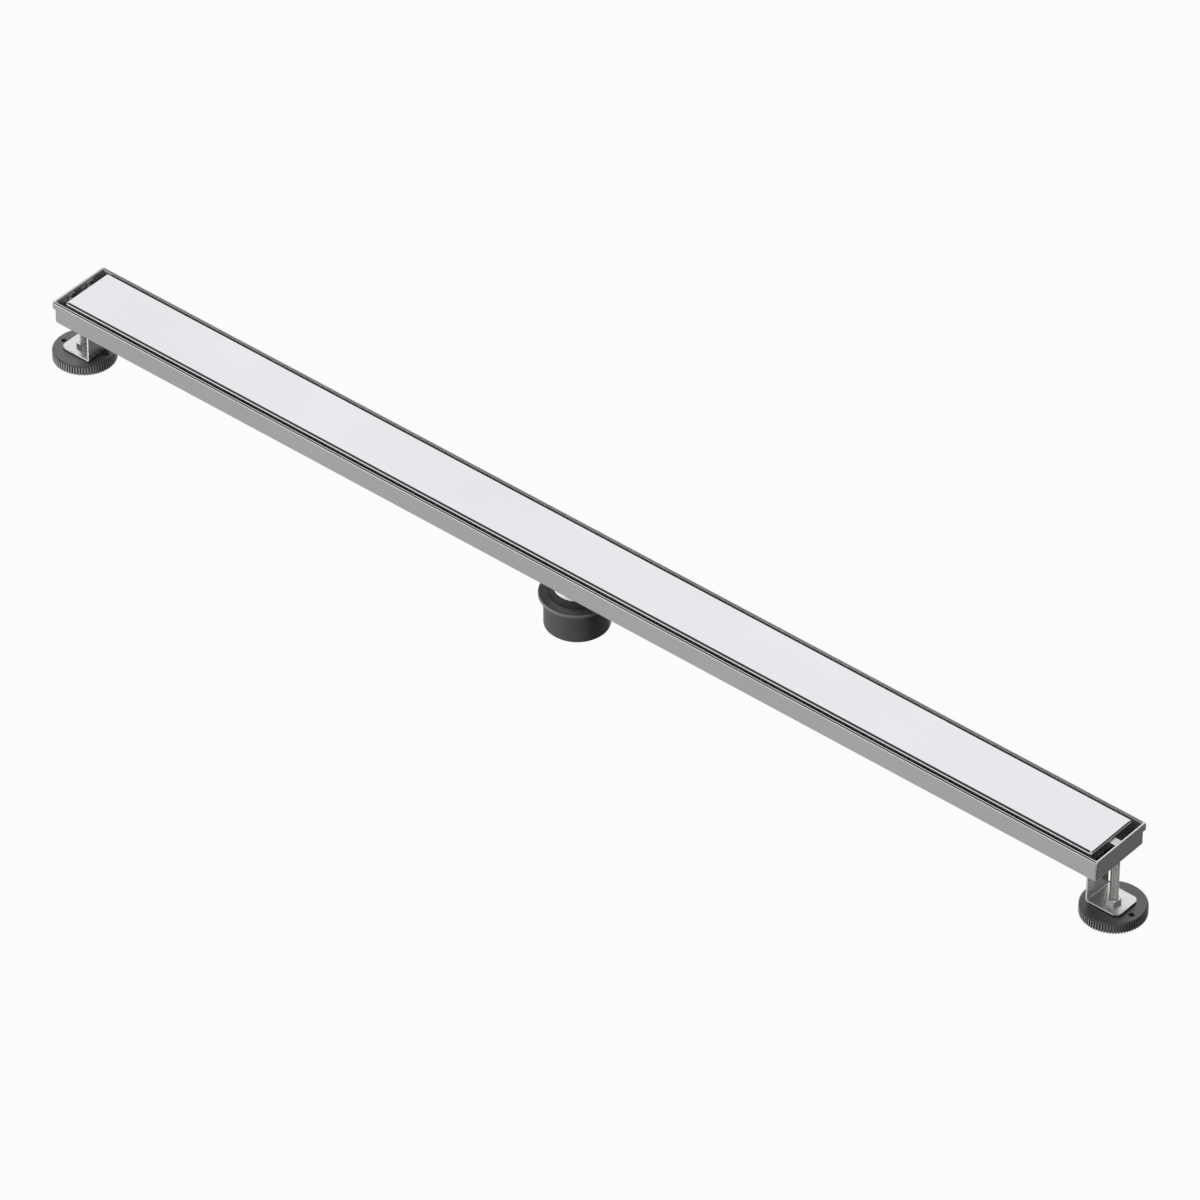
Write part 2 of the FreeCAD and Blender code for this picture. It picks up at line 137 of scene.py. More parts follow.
class ShaderTree:
    """The nodes of one material or world, cleared and built anew."""

    MIX_INPUTS = (6, 7)
    MIX_RESULT = 2

    def __init__(self, owner: Union[bpy.types.Material, bpy.types.World]) -> None:
        """Empties the owner's node tree.

        Args:
            owner: the material or world to build.
        """
        owner.use_nodes = True
        self.nodes = owner.node_tree.nodes
        self.links = owner.node_tree.links
        self.nodes.clear()
        kind = "World" if isinstance(owner, bpy.types.World) else "Material"
        self.output = f"ShaderNodeOutput{kind}"

    def add(self, kind: str, settings: Optional[Dict[str, Any]] = None,
            inputs: Optional[Dict[Union[str, int], Any]] = None) -> bpy.types.Node:
        """Adds a node, sets its options first and then its sockets.

        Args:
            kind: the node's type, such as ShaderNodeMath.
            settings: attributes of the node.
            inputs: a number, colour, Value or output socket for each named or
                numbered input.

        Returns:
            The new node.
        """
        node = self.nodes.new(kind)
        for name, value in (settings or {}).items():
            setattr(node, name, value)
        for name, value in (inputs or {}).items():
            socket = node.inputs[name]
            if isinstance(value, Value):
                value = value.socket
            if isinstance(value, bpy.types.NodeSocket):
                self.links.new(value, socket)
            else:
                socket.default_value = value
        return node

    def end(self, shader: bpy.types.Node) -> None:
        """Links the last shader to the owner's surface."""
        self.add(self.output, {}, {"Surface": shader.outputs[0]})

    def math(self, operation: str, first: Operand, second: Operand) -> Value:
        """Adds a Math node on two numbers.

        Args:
            operation: the Math node's operation.
            first: the upper input.
            second: the lower input.

        Returns:
            The result as a Value.
        """
        node = self.add("ShaderNodeMath", {"operation": operation}, {0: first, 1: second})
        return Value(self, node.outputs[0])

    def place(self) -> bpy.types.NodeSocket:
        """Gives the place on the object in its own coordinates."""
        return self.add("ShaderNodeTexCoord").outputs["Object"]

    def noise(self, stretch: Triple, scale: float, detail: float = 3.0,
              rough: float = 0.5) -> Value:
        """Adds fractal noise over the object.

        Args:
            stretch: how often the pattern repeats along X, Y and Z, against each other.
            scale: repeats a metre.
            detail: octaves.
            rough: how strong the fine octaves are.

        Returns:
            A Value from 0 to 1.
        """
        spread = self.add("ShaderNodeMapping", {}, {"Vector": self.place(), "Scale": stretch})
        node = self.add("ShaderNodeTexNoise", {}, {
            "Vector": spread.outputs["Vector"], "Scale": scale, "Detail": detail,
            "Roughness": rough})
        return Value(self, node.outputs[0])

    def along(self, axis: str) -> Value:
        """Gives how far a place is from the object's origin along one axis, squared.

        Args:
            axis: the axis, X, Y or Z.

        Returns:
            The squared distance as a Value.
        """
        parts = self.add("ShaderNodeSeparateXYZ", {}, {"Vector": self.place()})
        distance = Value(self, parts.outputs[axis])
        return distance * distance

    def reach(self, axis_x: float) -> Value:
        """Measures how far a place is from an upright axis over the X axis.

        Args:
            axis_x: where the axis stands.

        Returns:
            The distance as a Value.
        """
        flat = self.add("ShaderNodeVectorMath", {"operation": "MULTIPLY_ADD"}, {
            0: self.place(), 1: FLATTEN, 2: (-axis_x, 0.0, 0.0)})
        node = self.add("ShaderNodeVectorMath", {"operation": "LENGTH"}, {
            0: flat.outputs["Vector"]})
        return Value(self, node.outputs["Value"])

    def blend(self, amount: Operand, first: Tint, second: Tint) -> bpy.types.NodeSocket:
        """Mixes two colours.

        Args:
            amount: share of the second colour.
            first: colour or socket at 0.
            second: colour or socket at 1.

        Returns:
            The colour's socket.
        """
        inputs: Dict[Union[str, int], Any] = {0: amount}
        for number, tint in zip(self.MIX_INPUTS, (first, second)):
            inputs[number] = (*tint, 1.0) if isinstance(tint, tuple) else tint
        return self.add("ShaderNodeMix", {"data_type": "RGBA"}, inputs).outputs[self.MIX_RESULT]

    def bump(self, height: Value, depth: float, strength: float) -> bpy.types.NodeSocket:
        """Turns heights into a surface normal.

        Args:
            height: relief from 0 to 1.
            depth: height of the relief in metres.
            strength: how far it shows.

        Returns:
            The normal's socket.
        """
        node = self.add("ShaderNodeBump", {}, {
            "Height": height, "Distance": depth, "Strength": strength})
        return node.outputs["Normal"]

    def rays(self) -> Tuple[Value, Value, Value, Value]:
        """Tells the kinds of ray apart.

        Returns:
            Values that are 1 for a camera, a glossy and a transmission ray, and for
            any of these.
        """
        path = self.add("ShaderNodeLightPath")
        camera, glossy, through = (
            Value(self, path.outputs[name])
            for name in ("Is Camera Ray", "Is Glossy Ray", "Is Transmission Ray"))
        return camera, glossy, through, (camera + glossy + through).smooth_step(0.0, 1.0)


@dataclass(frozen=True)
class Finish:
    """A finish with a material of its own name."""

    name: str

    def material(self) -> bpy.types.Material:
        """Builds the finish.

        Returns:
            The material.
        """
        made = bpy.data.materials.new(self.name)
        tree = ShaderTree(made)
        tree.end(tree.add("ShaderNodeBsdfPrincipled", {}, self.surface(tree)))
        return made

    def surface(self, tree: ShaderTree) -> Dict[Union[str, int], Any]:
        """Works out what goes into the shader.

        Args:
            tree: the material's shader tree.

        Returns:
            A number, Value or output socket for each socket of the shader.
        """
        raise NotImplementedError


@dataclass(frozen=True)
class MattZone:
    """Where a sheet isn't polished: inside a trough, or on the cut edges of a strap.

    Attributes:
        half_x: half the trough's length in metres. A strap has none.
        half_y: half the trough's or the strap's width in metres.
        edge: width in metres over which the polish fades.
        inside: whether the zone lies within these sizes, or beyond half_y.
        metal: how metallic the zone is.
        rougher: what its roughness adds to the sheet's.
    """

    half_x: float
    half_y: float
    edge: float
    inside: bool
    metal: float
    rougher: float

    def mask(self, tree: ShaderTree) -> Value:
        """Works out where the zone is.

        Args:
            tree: the shader tree it goes into.

        Returns:
            1 in the zone and 0 on the polished sheet.
        """
        beyond = self._past(tree, "Y", self.half_y)
        if not self.inside:
            return beyond
        return (1 - beyond) * (1 - self._past(tree, "X", self.half_x))

    def _past(self, tree: ShaderTree, axis: str, half: float) -> Value:
        """Gives 1 beyond a distance along an axis and 0 within it."""
        return tree.along(axis).smooth_step(half ** 2, (half + self.edge) ** 2)


@dataclass(frozen=True)
class SheetSteel(Finish):
    """Stainless steel with rolling or brushing marks and soft clouds in its polish.

    Attributes:
        dark: its darker colour.
        light: its lighter colour.
        grain: the way the marks run.
        rough: roughness where it is polished best and least.
        relief: depth of the marks in metres.
        metal: how metallic it is.
        matt: where it isn't polished, if anywhere.
        marks: repeats of the marks a metre, times the grain.
        clouds: repeats of the clouds a metre.
        marks_in_tone: share of the marks in the colour; the clouds have the rest.
        marks_in_polish: share of the marks in the roughness.
        polish_spread: levels of the pattern at which the roughness starts and ends.
        relief_strength: how far the relief shows.
    """

    dark: Colour
    light: Colour
    grain: Grain
    rough: Span
    relief: float
    metal: float = 1.0
    matt: Optional[MattZone] = None
    marks: float = 12.0
    clouds: float = 9.0
    marks_in_tone: float = 0.55
    marks_in_polish: float = 0.7
    polish_spread: Span = (0.25, 0.75)
    relief_strength: float = 0.5

    def surface(self, tree: ShaderTree) -> Dict[Union[str, int], Any]:
        """Works out the steel's colour, polish and marks.

        Args:
            tree: the material's shader tree.

        Returns:
            What goes into the shader's sockets.
        """
        marks = tree.noise(self.grain.value, self.marks, detail=4.0, rough=0.65)
        clouds = tree.noise(UNSTRETCHED, self.clouds, detail=2.0)
        tone = marks * self.marks_in_tone + clouds * (1.0 - self.marks_in_tone)
        polish = marks * self.marks_in_polish + clouds * (1.0 - self.marks_in_polish)
        roughness = polish.smooth_step(*self.polish_spread, *self.rough)
        metallic: Operand = self.metal
        if self.matt:
            zone = self.matt.mask(tree)
            metallic = self.metal - zone * (self.metal - self.matt.metal)
            roughness = roughness + zone * self.matt.rougher
        return {
            "Base Color": tree.blend(tone.smooth_step(*NOISE_SPREAD), self.dark, self.light),
            "Metallic": metallic,
            "Roughness": roughness,
            "Normal": tree.bump(marks, self.relief, self.relief_strength)}


@dataclass(frozen=True)
class MouldedPlastic(Finish):
    """Filled plastic with its mould's fine matt skin and a painted highlight on its outermost
    rim.

    Attributes:
        dark: its darker colour.
        light: its lighter colour.
        rim_highlight: colour of the painted highlight on the outermost rim.
        axis_x: where the piece's upright axis stands.
        rim: distances from that axis at which the painted highlight starts and is full.
        rough: roughness where it is smoothest and roughest.
        ior: how strongly it shines.
        gullet_shade: colour of the painted shade between the grip teeth, if it has any.
        teeth_top: height of the grip teeth.
        teeth_fade: height over which the painted shade ends above them.
        gullet_shade_from: how far within the highlighted rim the painted shade starts.
        gullet_shade_full: how far within it the painted shade is full.
        skin: repeats of the mould's skin a metre.
        skin_in_tone: share of the skin in the colour; the flow marks have the rest.
        relief: depth of the skin in metres.
        relief_strength: how far the relief shows.
        flow: repeats of the flow marks a metre.
        flow_stretch: repeats of the flow marks along X, Y and Z.
        least_rim_highlight: how strongly the painted highlight shows where it is weakest.
        rim_highlight_change: what the flow marks add to that.
    """

    dark: Colour
    light: Colour
    rim_highlight: Colour
    axis_x: float
    rim: Span
    rough: Span
    ior: float = 1.85
    gullet_shade: Optional[Colour] = None
    teeth_top: float = 0.008
    teeth_fade: float = 0.0003
    gullet_shade_from: float = 0.0006
    gullet_shade_full: float = 0.0001
    skin: float = 1800.0
    skin_in_tone: float = 0.3
    relief: float = 0.00003
    relief_strength: float = 0.35
    flow: float = 70.0
    flow_stretch: Triple = (1.0, 1.0, 1.6)
    least_rim_highlight: float = 0.8
    rim_highlight_change: float = 0.4

    def surface(self, tree: ShaderTree) -> Dict[Union[str, int], Any]:
        """Works out the plastic's colour, shine and skin.

        Args:
            tree: the material's shader tree.

        Returns:
            What goes into the shader's sockets.
        """
        skin = tree.noise(UNSTRETCHED, self.skin, detail=2.0, rough=0.6)
        flow = tree.noise(self.flow_stretch, self.flow)
        tone = flow * (1.0 - self.skin_in_tone) + skin * self.skin_in_tone
        moulded = tree.blend(tone.smooth_step(*NOISE_SPREAD), self.dark, self.light)
        # Painted highlight: the outermost rim is made paler, as if light caught it.
        lit_rim = tree.reach(self.axis_x).smooth_step(*self.rim)
        # Painted shade darkens the plastic between the grip teeth.
        if self.gullet_shade:
            moulded = tree.blend(self._gullet_shade_mask(tree), moulded, self.gullet_shade)
        share = lit_rim * (self.least_rim_highlight + flow * self.rim_highlight_change)
        return {
            "Base Color": tree.blend(share, moulded, self.rim_highlight),
            "Roughness": flow.smooth_step(*NOISE_SPREAD, *self.rough),
            "IOR": self.ior,
            "Normal": tree.bump(skin, self.relief, self.relief_strength)}

    def _gullet_shade_mask(self, tree: ShaderTree) -> Value:
        """Works out where painted shade darkens the gaps between the grip teeth.

        Args:
            tree: the material's shader tree.

        Returns:
            1 between the teeth and 0 elsewhere, apart from the highlighted rim.
        """
        start = self.rim[0]
        sunk = tree.reach(self.axis_x).smooth_step(start - self.gullet_shade_from,
                                                   start - self.gullet_shade_full)
        low = tree.along("Z").smooth_step(self.teeth_top ** 2,
                                          (self.teeth_top + self.teeth_fade) ** 2, 1.0, 0.0)
        return sunk * low


@dataclass(frozen=True)
class SoftRubber(Finish):
    """Black sealing rubber with a dusty bloom.

    Attributes:
        black: its clean colour.
        bloom: its dusty colour.
        rough: roughness where it is clean and dusty.
        ior: how strongly it shines.
        dust: repeats of the dust a metre.
        dust_spread: levels of the pattern at which the bloom starts and is full.
        relief: depth of the dust in metres.
        relief_strength: how far the relief shows.
    """

    black: Colour
    bloom: Colour
    rough: Span = (0.55, 0.75)
    ior: float = 1.45
    dust: float = 240.0
    dust_spread: Span = (0.35, 0.75)
    relief: float = 0.00005
    relief_strength: float = 0.3

    def surface(self, tree: ShaderTree) -> Dict[Union[str, int], Any]:
        """Works out the rubber's colour, shine and dust.

        Args:
            tree: the material's shader tree.

        Returns:
            What goes into the shader's sockets.
        """
        dust = tree.noise(UNSTRETCHED, self.dust, detail=4.0, rough=0.6)
        return {
            "Base Color": tree.blend(dust.smooth_step(*self.dust_spread), self.black, self.bloom),
            "Roughness": dust.smooth_step(*NOISE_SPREAD, *self.rough),
            "IOR": self.ior,
            "Normal": tree.bump(dust, self.relief, self.relief_strength)}


@dataclass(frozen=True)
class Finishes:
    """Every finish on the drain."""

    channel: SheetSteel = SheetSteel(
        "channel_steel", (0.63, 0.63, 0.625), (0.69, 0.69, 0.685), Grain.LENGTHWISE,
        rough=(0.13, 0.18), relief=0.0000005,
        matt=MattZone(half_x=0.5971, half_y=0.0322, edge=0.0005, inside=True, metal=0.78,
                      rougher=0.3))
    cover: SheetSteel = SheetSteel(
        "cover_steel", (0.775, 0.787, 0.808), (0.82, 0.832, 0.853), Grain.LENGTHWISE,
        rough=(0.08, 0.12), relief=0.0000004)
    supports: SheetSteel = SheetSteel(
        "support_steel", (0.5, 0.5, 0.5), (0.6, 0.6, 0.6), Grain.EVEN,
        rough=(0.28, 0.36), relief=0.0000005)
    spacers: SheetSteel = SheetSteel(
        "spacer_steel", (0.68, 0.68, 0.68), (0.78, 0.78, 0.78), Grain.EVEN,
        rough=(0.34, 0.42), relief=0.0000005)
    strainer: SheetSteel = SheetSteel(
        "strainer_steel", (0.6, 0.6, 0.6), (0.7, 0.7, 0.7), Grain.EVEN,
        rough=(0.24, 0.32), relief=0.0000005)
    spigot: SheetSteel = SheetSteel(
        "spigot_steel", (0.88, 0.88, 0.87), (0.93, 0.93, 0.92), Grain.EVEN,
        rough=(0.45, 0.55), relief=0.0000002, metal=0.15)
    brackets: SheetSteel = SheetSteel(
        "bracket_steel", (0.76, 0.76, 0.76), (0.84, 0.84, 0.84), Grain.EVEN,
        rough=(0.26, 0.34), relief=0.0000005,
        matt=MattZone(half_x=0.0, half_y=0.01492, edge=0.00005, inside=False, metal=0.35,
                      rougher=0.1))
    screws: SheetSteel = SheetSteel(
        "screw_steel", (0.62, 0.61, 0.585), (0.74, 0.73, 0.70), Grain.TURNED,
        rough=(0.2, 0.28), relief=0.0000003)
    fasteners: SheetSteel = SheetSteel(
        "zinc_plated_steel", (0.76, 0.76, 0.75), (0.86, 0.86, 0.85), Grain.EVEN,
        rough=(0.2, 0.28), relief=0.0000003)
    # The adapter's paler flange rim is a painted highlight.
    adapter: MouldedPlastic = MouldedPlastic(
        "adapter_plastic", (0.027, 0.028, 0.03), (0.038, 0.039, 0.041),
        rim_highlight=(0.14, 0.14, 0.142), axis_x=-0.0045, rim=(0.0341, 0.0346), rough=(0.32, 0.42))
    # The two foot discs are a lit and a shaded copy of one plastic. The right disc's colours, rim
    # highlight and gullet shade are darker, as painted shade.
    lit_left_disc: MouldedPlastic = MouldedPlastic(
        "left_foot_plastic_lit", (0.052, 0.054, 0.058), (0.07, 0.072, 0.077),
        rim_highlight=(0.23, 0.234, 0.242), axis_x=-0.594, rim=(0.0290, 0.0298), rough=(0.34, 0.44),
        ior=2.1, gullet_shade=(0.012, 0.012, 0.013))
    shaded_right_disc: MouldedPlastic = MouldedPlastic(
        "right_foot_plastic_shaded", (0.038, 0.039, 0.042), (0.05, 0.052, 0.056),
        rim_highlight=(0.17, 0.173, 0.178), axis_x=0.594, rim=(0.0290, 0.0298), rough=(0.34, 0.44),
        ior=2.1, gullet_shade=(0.01, 0.01, 0.011))
    seal: SoftRubber = SoftRubber("seal_rubber", (0.022, 0.022, 0.024), (0.04, 0.04, 0.042))


def dress(material: bpy.types.Material, *nodes: str) -> None:
    """Gives CAD nodes a finish.

    Args:
        material: the finish.
        nodes: names of the nodes.
    """
    for name in nodes:
        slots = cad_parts[name].data.materials
        if not slots:
            slots.append(material)
        for index in range(len(slots)):
            slots[index] = material
        LOG.info("dressed %s in %s", name, material.name)


def link(thing: bpy.types.Object) -> None:
    """Puts an object into the scene."""
    bpy.context.scene.collection.objects.link(thing)


def mesh_piece(name: str, shape: bmesh.types.BMesh,
               material: bpy.types.Material) -> bpy.types.Object:
    """Turns a finished bmesh into an object at the origin.

    Args:
        name: the piece's name.
        shape: the bmesh, which is freed.
        material: its finish.

    Returns:
        The new object.
    """
    mesh = bpy.data.meshes.new(name)
    bmesh.ops.recalc_face_normals(shape, faces=shape.faces)
    shape.to_mesh(mesh)
    shape.free()
    mesh.materials.append(material)
    piece = bpy.data.objects.new(name, mesh)
    link(piece)
    LOG.info("made %s, %d faces", name, len(mesh.polygons))
    return piece


@dataclass
class Trough:
    """The channel with the supports, spacers and strainer that lie in it."""

    finishes: Finishes
    supports: int = 6

    def build(self) -> None:
        """Dresses the channel and what lies in it."""
        bridges = [f"cover_support_{number}" for number in range(1, self.supports + 1)]
        clips = [f"spacer_{place}" for place in ("left_near", "left_far", "right")]
        dress(self.finishes.channel.material(), "channel")
        dress(self.finishes.supports.material(), *bridges)
        dress(self.finishes.spacers.material(), *clips)
        dress(self.finishes.strainer.material(), "hair_strainer")


@dataclass
class Cover:
    """The lift-off cover plate."""

    finishes: Finishes

    def build(self) -> None:
        """Dresses the cover."""
        dress(self.finishes.cover.material(), "cover_plate")


@dataclass
class Outlet:
    """The steel spigot with the seal and the pipe adapter that is pushed onto it."""

    finishes: Finishes

    def build(self) -> None:
        """Dresses the outlet's pieces."""
        dress(self.finishes.spigot.material(), "outlet_spigot")
        dress(self.finishes.adapter.material(), "outlet_adapter")
        dress(self.finishes.seal.material(), "outlet_seal")


@dataclass
class LevellingFoot:
    """One foot: bracket, nut and washer, and the disc that turns with its threaded screw.

    Attributes:
        side: the end of the drain it stands at.
        finishes: the drain's finishes.
        head_turn: how far the hexagon head is turned, in degrees.
        major: outer radius of the thread. All lengths are in metres.
        root: inner radius of the thread.
        pitch: height of one turn.
        crest: height of the flat on the thread's crest.
        root_flat: height of the flat at its root.
        spare_turns: turns wound beyond each end and cut off.
        steps: segments of one turn.
        weld: distance at which vertices are merged.
        head_across: width of the head over its flats.
        head_height: height of the head.
        head_lap: how far the threaded rod reaches into the head.
        head_crown: width of the bevel round the head's ends.
        tip_chamfer: width of the chamfer at the tip.
        level: largest difference in height within one edge of the head's ends.
        names: names of the foot's CAD nodes.
    """

    side: Side
    finishes: Finishes
    head_turn: float
    major: float = 0.004
    root: float = 0.00332
    pitch: float = 0.00125
    crest: float = 0.00018
    root_flat: float = 0.00032
    spare_turns: int = 2
    steps: int = 28
    weld: float = 0.000002
    head_across: float = 0.013
    head_height: float = 0.0053
    head_lap: float = 0.0002
    head_crown: float = 0.0006
    tip_chamfer: float = 0.0008
    level: float = 0.0000001
    names: Tuple[str, ...] = field(init=False)

    def __post_init__(self) -> None:
        """Names the foot's CAD nodes from its side."""
        word = self.side.name.lower()
        parts = ("bracket", "nut", "washer", "foot_disc", "bolt")
        self.names = tuple(f"{word}_{part}" for part in parts)

    def build(self) -> None:
        """Dresses the foot and puts its threaded screw in."""
        bracket, nut, washer, disc, bolt = self.names
        dress(self.finishes.brackets.material(), bracket)
        dress(self.finishes.fasteners.material(), nut, washer)
        # The right disc takes the darker, shaded copy of the plastic.
        discs = {Side.LEFT: self.finishes.lit_left_disc, Side.RIGHT: self.finishes.shaded_right_disc}
        dress(discs[self.side].material(), disc)
        screw = mesh_piece(f"{self.side.name.lower()}_levelling_screw", self._screw(bolt),
                           self.finishes.screws.material())
        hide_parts(bolt)
        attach(screw, f"{self.side.name.lower()}_foot")

    def _screw(self, bolt: str) -> bmesh.types.BMesh:
        """Models the screw: rolled thread up to the tip and hexagon head below.

        Args:
            bolt: the plain CAD screw whose place it takes.

        Returns:
            The screw's bmesh, in its place.
        """
        low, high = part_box(bolt)
        centre = (low + high) / 2
        neck = low.z + self.head_height
        shape = self._thread(neck - self.head_lap, high.z)
        self._head(shape, low.z, neck)
        bmesh.ops.translate(shape, verts=shape.verts,
                            vec=(self.side.value * abs(centre.x), centre.y, 0.0))
        return shape

    def _thread(self, start: float, end: float) -> bmesh.types.BMesh:
        """Winds one pitch of the thread's outline into a screw and trims it.

        Args:
            start: height of its lower end.
            end: height of its tip.

        Returns:
            A closed threaded rod on the Z axis.
        """
        shape = bmesh.new()
        flank = (self.pitch - self.crest) / 2 - self.root_flat / 2
        outline = [(self.root, 0.0), (self.root, self.root_flat),
                   (self.major, self.root_flat + flank),
                   (self.major, self.root_flat + flank + self.crest), (self.root, self.pitch)]
        bottom = start - self.spare_turns * self.pitch
        dots = [shape.verts.new((radius, 0.0, bottom + height)) for radius, height in outline]
        edges = [shape.edges.new(pair) for pair in zip(dots, dots[1:])]
        turns = int((end - start) / self.pitch) + 2 * self.spare_turns
        bmesh.ops.spin(shape, geom=dots + edges, cent=ORIGIN, axis=UPWARDS,
                       angle=2 * pi * turns, dvec=(0, 0, self.pitch / self.steps),
                       steps=self.steps * turns, use_merge=False, use_duplicate=False)
        bmesh.ops.remove_doubles(shape, verts=shape.verts, dist=self.weld)
        for height, is_top in ((start, False), (end, True)):
            everything = list(shape.verts) + list(shape.edges) + list(shape.faces)
            bmesh.ops.bisect_plane(shape, geom=everything, dist=1e-8, plane_co=(0, 0, height),
                                   plane_no=UPWARDS, clear_outer=is_top,
                                   clear_inner=not is_top)
        open_ends = [edge for edge in shape.edges if edge.is_boundary]
        bmesh.ops.holes_fill(shape, edges=open_ends, sides=0)
        self._chamfer_tip(shape, end)
        return shape

    def _chamfer_tip(self, shape: bmesh.types.BMesh, end: float) -> None:
        """Draws the last turns in to a cone.

        Args:
            shape: the threaded rod.
            end: height of its tip.
        """
        for vert in shape.verts:
            allowed = self.major - max(0.0, self.tip_chamfer - (end - vert.co.z))
            reach = vert.co.xy.length
            if reach > allowed:
                vert.co.x *= allowed / reach
                vert.co.y *= allowed / reach

    def _head(self, shape: bmesh.types.BMesh, start: float, end: float) -> None:
        """Adds the hexagon head with its turned crowns.

        Args:
            shape: the bmesh it goes into.
            start: height of its underside.
            end: height of its top.
        """
        corner = self.head_across / 2 / cos(radians(30))
        middle = Matrix.Translation((0, 0, (start + end) / 2))
        made = bmesh.ops.create_cone(
            shape, cap_ends=True, cap_tris=False, segments=6, radius1=corner, radius2=corner,
            depth=end - start, matrix=middle @ Matrix.Rotation(radians(self.head_turn), 4, "Z"))
        verts = set(made["verts"])
        rims = [edge for edge in shape.edges if set(edge.verts) <= verts
                and abs(edge.verts[0].co.z - edge.verts[1].co.z) < self.level]
        bmesh.ops.bevel(shape, geom=rims, offset=self.head_crown, offset_type="OFFSET",
                        segments=2, profile=0.5, affect="EDGES", material=-1,
                        clamp_overlap=True)


@dataclass
class PhotoCamera:
    """The long-lens camera that the picture was taken with.

    Attributes:
        azimuth: how far round it stands from -Y towards +X, in degrees.
        elevation: how high it stands, in degrees.
        roll: how far it is turned on its own axis, in degrees.
        distance: how far it is from the point it aims at, in metres.
        shift: how far that point is right of the frame's middle and below it, in metres.
        aim_height: height of that point.
        lens: focal length in millimetres.
        sensor: sensor width in millimetres.
        clip: nearest and farthest distance it sees.
    """

    azimuth: float = 39.8674
    elevation: float = 39.6688
    roll: float = -0.20426
    distance: float = 8.328667
    shift: Span = (-0.016485, -0.040935)
    aim_height: float = 0.08
    lens: float = 284.0577
    sensor: float = 36.0
    clip: Span = (0.1, 60.0)

    def build(self) -> None:
        """Places the camera and makes it the scene's own."""
        around, up, roll = radians(self.azimuth), radians(self.elevation), radians(self.roll)
        back = Vector((sin(around) * cos(up), -cos(around) * cos(up), sin(up)))
        level = Vector((cos(around), sin(around), 0.0))
        fall = (-back).cross(level)
        right = level * cos(roll) + fall * sin(roll)
        down = fall * cos(roll) - level * sin(roll)
        place = back * self.distance - right * self.shift[0] - down * self.shift[1]
        data = bpy.data.cameras.new("photo_camera")
        data.lens, data.sensor_width, data.sensor_fit = self.lens, self.sensor, "HORIZONTAL"
        data.clip_start, data.clip_end = self.clip
        camera = bpy.data.objects.new("photo_camera", data)
        turn = Matrix((right, -down, back)).transposed().to_4x4()
        camera.matrix_world = Matrix.Translation(place + Vector((0, 0, self.aim_height))) @ turn
        link(camera)
        bpy.context.scene.camera = camera
        LOG.info("camera %.2f m away", self.distance)


@dataclass(frozen=True)
class SoftWall:
    """One large soft reflector or shade of the studio, as the metal sees it.

    Attributes:
        towards: the direction its middle lies in.
        inner: angle from there up to which it is full, in degrees.
        outer: angle at which it ends.
        level: how bright it is, where 1 is white.
    """

    towards: Triple
    inner: float
    outer: float
    level: float

    def seen(self, tree: ShaderTree, direction: bpy.types.NodeSocket) -> Value:
        """Works out how bright the wall is in a direction.

        Args:
            tree: the world's shader tree.
            direction: the direction that is looked in.

        Returns:
            The level as a Value.
        """
        axis = Vector(self.towards).normalized()
        node = tree.add("ShaderNodeVectorMath", {"operation": "DOT_PRODUCT"}, {
            0: direction, 1: tuple(axis)})
        closeness = Value(tree, node.outputs["Value"])
        return closeness.smooth_step(cos(radians(self.outer)), cos(radians(self.inner)), 0.0,
                                     self.level)


@dataclass(frozen=True)
class SoftLamp:
    """A square soft lamp that looks at the drain and isn't mirrored in it.

    Attributes:
        name: the lamp's name.
        place: where it hangs, in metres.
        size: its side in metres.
        power: its power in watts.
    """

    name: str
    place: Triple
    size: float
    power: float

    def hang(self) -> None:
        """Hangs the lamp."""
        data = bpy.data.lights.new(self.name, "AREA")
        data.shape, data.size, data.energy = "SQUARE", self.size, self.power
        lamp = bpy.data.objects.new(self.name, data)
        lamp.location = self.place
        lamp.rotation_euler = (-Vector(self.place)).to_track_quat("-Z", "Y").to_euler()
        lamp.visible_glossy = False
        link(lamp)


